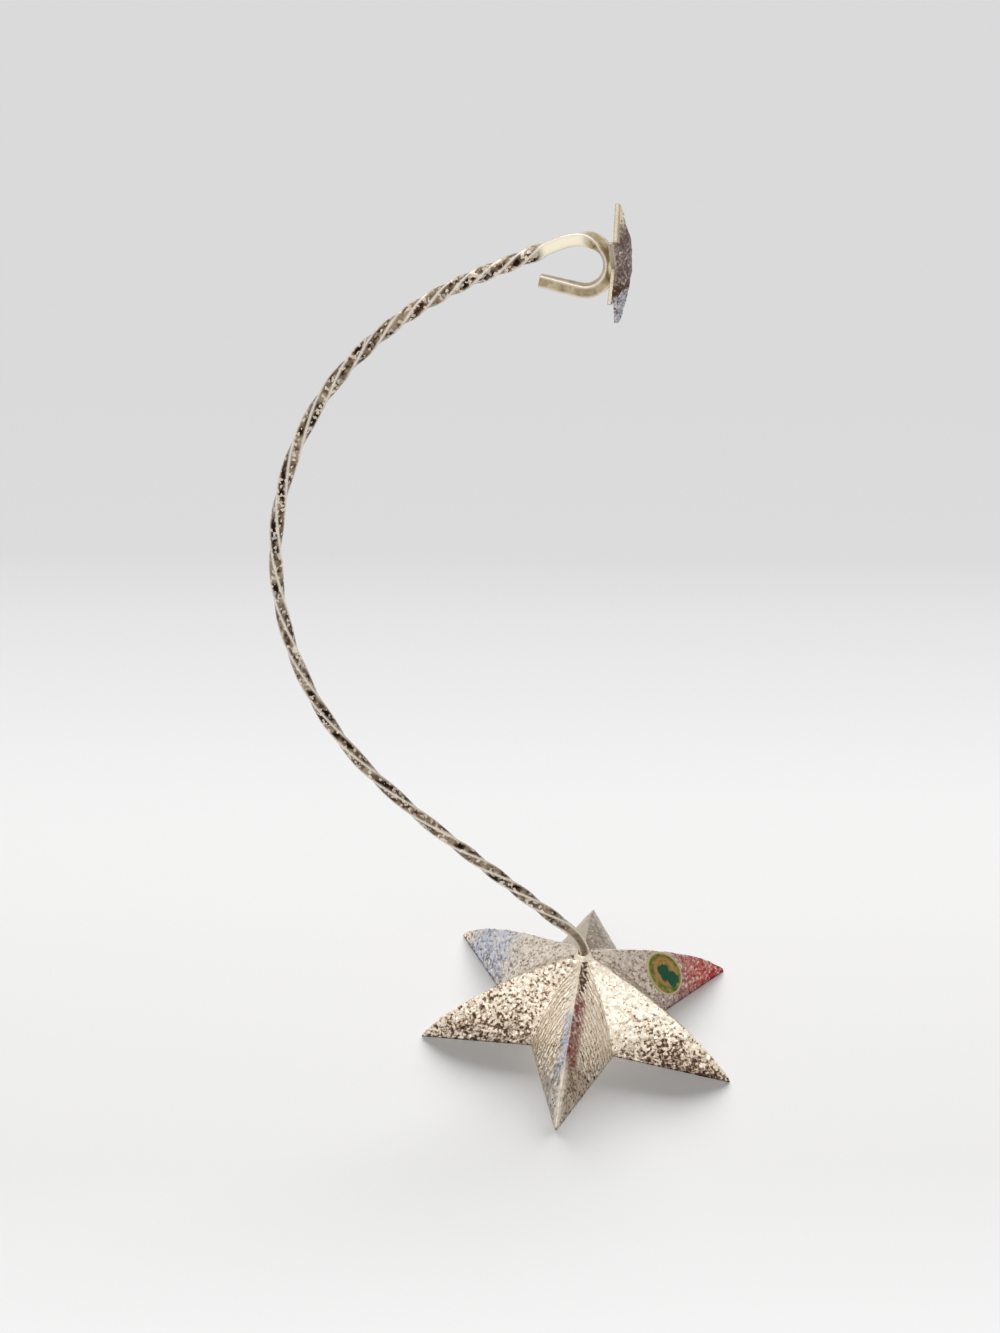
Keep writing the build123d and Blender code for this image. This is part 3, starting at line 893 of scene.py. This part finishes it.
def printed_foil(name):
    """Foil printed in green and gold: a pale gold rim round a marbled field, darker green low in
    the middle, with a tan arc above it."""
    material, tree = new_material(name)
    across, length = (
        add_node(tree, "Attribute", attribute_name=key)["Fac"] for key in ("across", "length")
    )
    spot = add_node(tree, "CombineXYZ", {"X": across, "Y": length})["Vector"]
    marble = add_node(tree, "TexNoise", {"Vector": spot, "Scale": 2.6, "Detail": 5.0,
                                         "Roughness": 0.6})["Fac"]
    field = add_node(tree, "ValToRGB", {"Fac": marble}, [
        (0.34, "#3A5A24"), (0.45, "#6B7A34"), (0.53, "#A08F42"), (0.62, "#C9A75C"),
    ])["Color"]

    def wavy_distance(x, y):
        straight = add_node(tree, "VectorMath", {0: spot, 1: (x, y, 0.0)}, operation="DISTANCE")
        return add_node(tree, "Math", {0: marble, 1: 0.5, 2: straight["Value"]},
                        operation="MULTIPLY_ADD")["Value"]

    # A tan arc over a dark green body, which is two rounds that run into each other
    off_arc = add_node(tree, "Math", {0: wavy_distance(0.08, 0.02), 1: 0.82},
                       operation="SUBTRACT")["Value"]
    off_arc = add_node(tree, "Math", {0: off_arc}, operation="ABSOLUTE")["Value"]
    arc = add_node(tree, "MapRange", {0: off_arc, 1: 0.04, 2: 0.11, 3: 0.85, 4: 0.0})["Result"]
    printed = add_node(tree, "Mix", {0: arc, 6: field, 7: plain_colour("#C98F52")},
                       data_type="RGBA")[2]
    body = add_node(tree, "Math", {0: wavy_distance(-0.02, 0.06), 1: wavy_distance(0.1, -0.42)},
                    operation="MINIMUM")["Value"]
    green = add_node(tree, "MapRange", {0: body, 1: 0.58, 2: 0.66, 3: 1.0, 4: 0.0})["Result"]
    printed = add_node(tree, "Mix", {0: green, 6: printed, 7: plain_colour("#155A3C")},
                       data_type="RGBA")[2]
    reach = add_node(tree, "VectorMath", {0: spot}, operation="LENGTH")["Value"]
    rim = add_node(tree, "MapRange", {0: reach, 1: 0.89, 2: 0.93, 3: 0.0, 4: 1.0})["Result"]
    printed = add_node(tree, "Mix", {0: rim, 6: printed, 7: plain_colour("#D6C896")},
                       data_type="RGBA")[2]
    shader = add_node(tree, "BsdfPrincipled", {"Base Color": printed, "Metallic": 0.5,
                                               "Roughness": 0.32})
    add_node(tree, "OutputMaterial", {"Surface": shader["BSDF"]})
    return material


# The stage
def seen_rays(tree):
    """1 for what the camera sees, also in metal or through glass, and 0 for what lights."""
    rays = add_node(tree, "LightPath")
    seen = add_node(tree, "Math", {0: rays["Is Camera Ray"], 1: rays["Is Glossy Ray"]},
                    operation="MAXIMUM")["Value"]
    return add_node(tree, "Math", {0: seen, 1: rays["Is Transmission Ray"]},
                    operation="MAXIMUM")["Value"]


def make_floor():
    """One flat pale floor that runs to the far distance. Round the object it is plain diffuse
    paper, which keeps the shadow. Nearer and further it goes over to an even tone, which
    deepens to a backdrop's, also as the metal sees it."""
    half_width, near, far = 12.0, -3.0, 16.0
    backwards = radians(-14.0)
    points = np.array([[-half_width, near, 0], [half_width, near, 0], [half_width, far, 0],
                       [-half_width, far, 0]])
    material, tree = new_material("studio_paper")
    place = add_node(tree, "TexCoord")["Object"]
    depth = add_node(tree, "VectorMath", {0: place, 1: (sin(backwards), cos(backwards), 0)},
                     operation="DOT_PRODUCT")["Value"]
    share = add_node(tree, "MapRange", {0: depth, 1: 0.05, 2: 0.65, 3: 0.0, 4: 1.0})["Result"]
    colour = add_node(tree, "ValToRGB", {"Fac": share}, [
        (0.0, "#F6F6F6"), (0.12, "#F3F3F3"), (0.38, "#E6E6E6"), (0.52, "#DCDCDC"), (1.0, "#DADADA"),
    ])["Color"]
    behind = add_node(tree, "MapRange", {0: depth, 1: 0.03, 2: 0.16, 3: 0.0, 4: 1.0})
    in_front = add_node(tree, "MapRange", {0: depth, 1: -0.125, 2: -0.065, 3: 1.0, 4: 0.0})
    even_share = add_node(tree, "Math", {0: behind["Result"], 1: in_front["Result"]},
                          operation="ADD")["Value"]
    even = add_node(tree, "Math", {0: seen_rays(tree), 1: even_share}, operation="MULTIPLY")
    paper = add_node(tree, "BsdfDiffuse", {"Color": colour})
    tone = add_node(tree, "Emission", {"Color": colour, "Strength": 1.0})
    both = add_node(tree, "MixShader", {0: even["Value"], 1: paper["BSDF"], 2: tone["Emission"]})
    add_node(tree, "OutputMaterial", {"Surface": both["Shader"]})
    make_mesh("studio_floor", points, [[0, 1, 2, 3]], material)


def make_light(name, place, target, width, depth, radiance, in_metal=True):
    """A softbox that looks at a point and gives a set radiance, and may be kept out of what
    the metal mirrors."""
    lamp = bpy.data.lights.new(name, "AREA")
    lamp.shape = "RECTANGLE"
    lamp.size = width
    lamp.size_y = depth
    lamp.energy = radiance * pi * width * depth
    piece = bpy.data.objects.new(name, lamp)
    piece.location = place
    piece.rotation_euler = (Vector(target) - Vector(place)).to_track_quat("-Z", "Y").to_euler()
    piece.visible_glossy = in_metal
    bpy.context.collection.objects.link(piece)


def make_world(horizon, zenith, dimmest, palest):
    """The room's soft light: paler at the horizon and dimmer overhead. The metal mirrors it
    pale as the backdrop on the side of the window, left and in front, and dimmer opposite."""
    to_window = (-0.66, -0.38, 0.65)
    world = bpy.data.worlds.new("room")
    world.use_nodes = True
    tree = world.node_tree
    way = add_node(tree, "TexCoord")["Generated"]
    height = add_node(tree, "SeparateXYZ", {"Vector": way})["Z"]
    soft = add_node(tree, "MapRange", {0: height, 1: 0.0, 2: 0.8, 3: horizon, 4: zenith})["Result"]
    facing = add_node(tree, "VectorMath", {0: way, 1: to_window}, operation="DOT_PRODUCT")["Value"]
    mirrored = add_node(tree, "MapRange", {0: facing, 1: -0.6, 2: 0.5, 3: dimmest, 4: palest})
    more = add_node(tree, "Math", {0: mirrored["Result"], 1: soft}, operation="SUBTRACT")["Value"]
    level = add_node(tree, "Math", {0: seen_rays(tree), 1: more, 2: soft},
                     operation="MULTIPLY_ADD")["Value"]
    background = tree.nodes["Background"]
    background.inputs["Color"].default_value = plain_colour("#FAF8F5")
    tree.links.new(level, background.inputs["Strength"])
    bpy.context.scene.world = world


def make_camera():
    """The photograph's view: its place, the way it looks and its slight roll, and a lens that
    gives its vertical angle of view."""
    place = Vector((40.7, -341.5, 288.9)) * mm
    yaw, pitch, roll = radians(-11.39), radians(-26.78), radians(1.51)
    vertical_view, sensor_height = radians(50.45), 36
    ahead = Vector((sin(yaw) * cos(pitch), cos(yaw) * cos(pitch), sin(pitch)))
    level = Vector((cos(yaw), -sin(yaw), 0))
    above = level.cross(ahead)
    right = cos(roll) * level + sin(roll) * above
    up = cos(roll) * above - sin(roll) * level
    camera = bpy.data.objects.new("camera", bpy.data.cameras.new("camera"))
    camera.matrix_world = Matrix((right, up, -ahead)).transposed().to_4x4()
    camera.location = place
    camera.data.sensor_fit = "VERTICAL"
    camera.data.sensor_height = sensor_height
    camera.data.lens = sensor_height / 2 / tan(vertical_view / 2)
    camera.data.clip_start = 0.01
    bpy.context.collection.objects.link(camera)
    bpy.context.scene.camera = camera


sheet_nickel = hammered_nickel("hammered_warm_nickel", flake=0.8 * mm)
small_nickel = hammered_nickel("crinkled_warm_nickel", flake=0.55 * mm)
bar_metal = bar_nickel("twisted_warm_nickel")
braze = braze_metal("plated_braze")
foil = printed_foil("printed_gold_green_foil")

pieces = [
    (make_star_base(sheet_nickel), "star_base", "hammered_star"),
    (make_arm(bar_metal), "arm", "twisted_bar"),
    (make_hook_star(small_nickel), "hook_star", "small_star"),
    (make_base_braze(braze), "base_braze", "braze"),
    (make_foil_seal(foil), "foil_seal", "foil"),
]
for piece, node, slot in pieces:
    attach(piece, "root")
    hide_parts(node)
hook_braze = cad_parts["hook_braze"]
hook_braze.data.materials.clear()
hook_braze.data.materials.append(braze)

make_floor()
make_light("back_softbox", (-0.25, 2.4, 1.16), (0, 0, 0), width=2.2, depth=0.8, radiance=21.0,
           in_metal=False)
make_light("top_softbox", (-0.15, -0.5, 0.8), (0, -0.1, 0), width=0.6, depth=0.5, radiance=1.2)
make_world(horizon=0.43, zenith=0.19, dimmest=0.62, palest=1.0)
make_camera()

scene = bpy.context.scene
scene.view_settings.view_transform = "Standard"
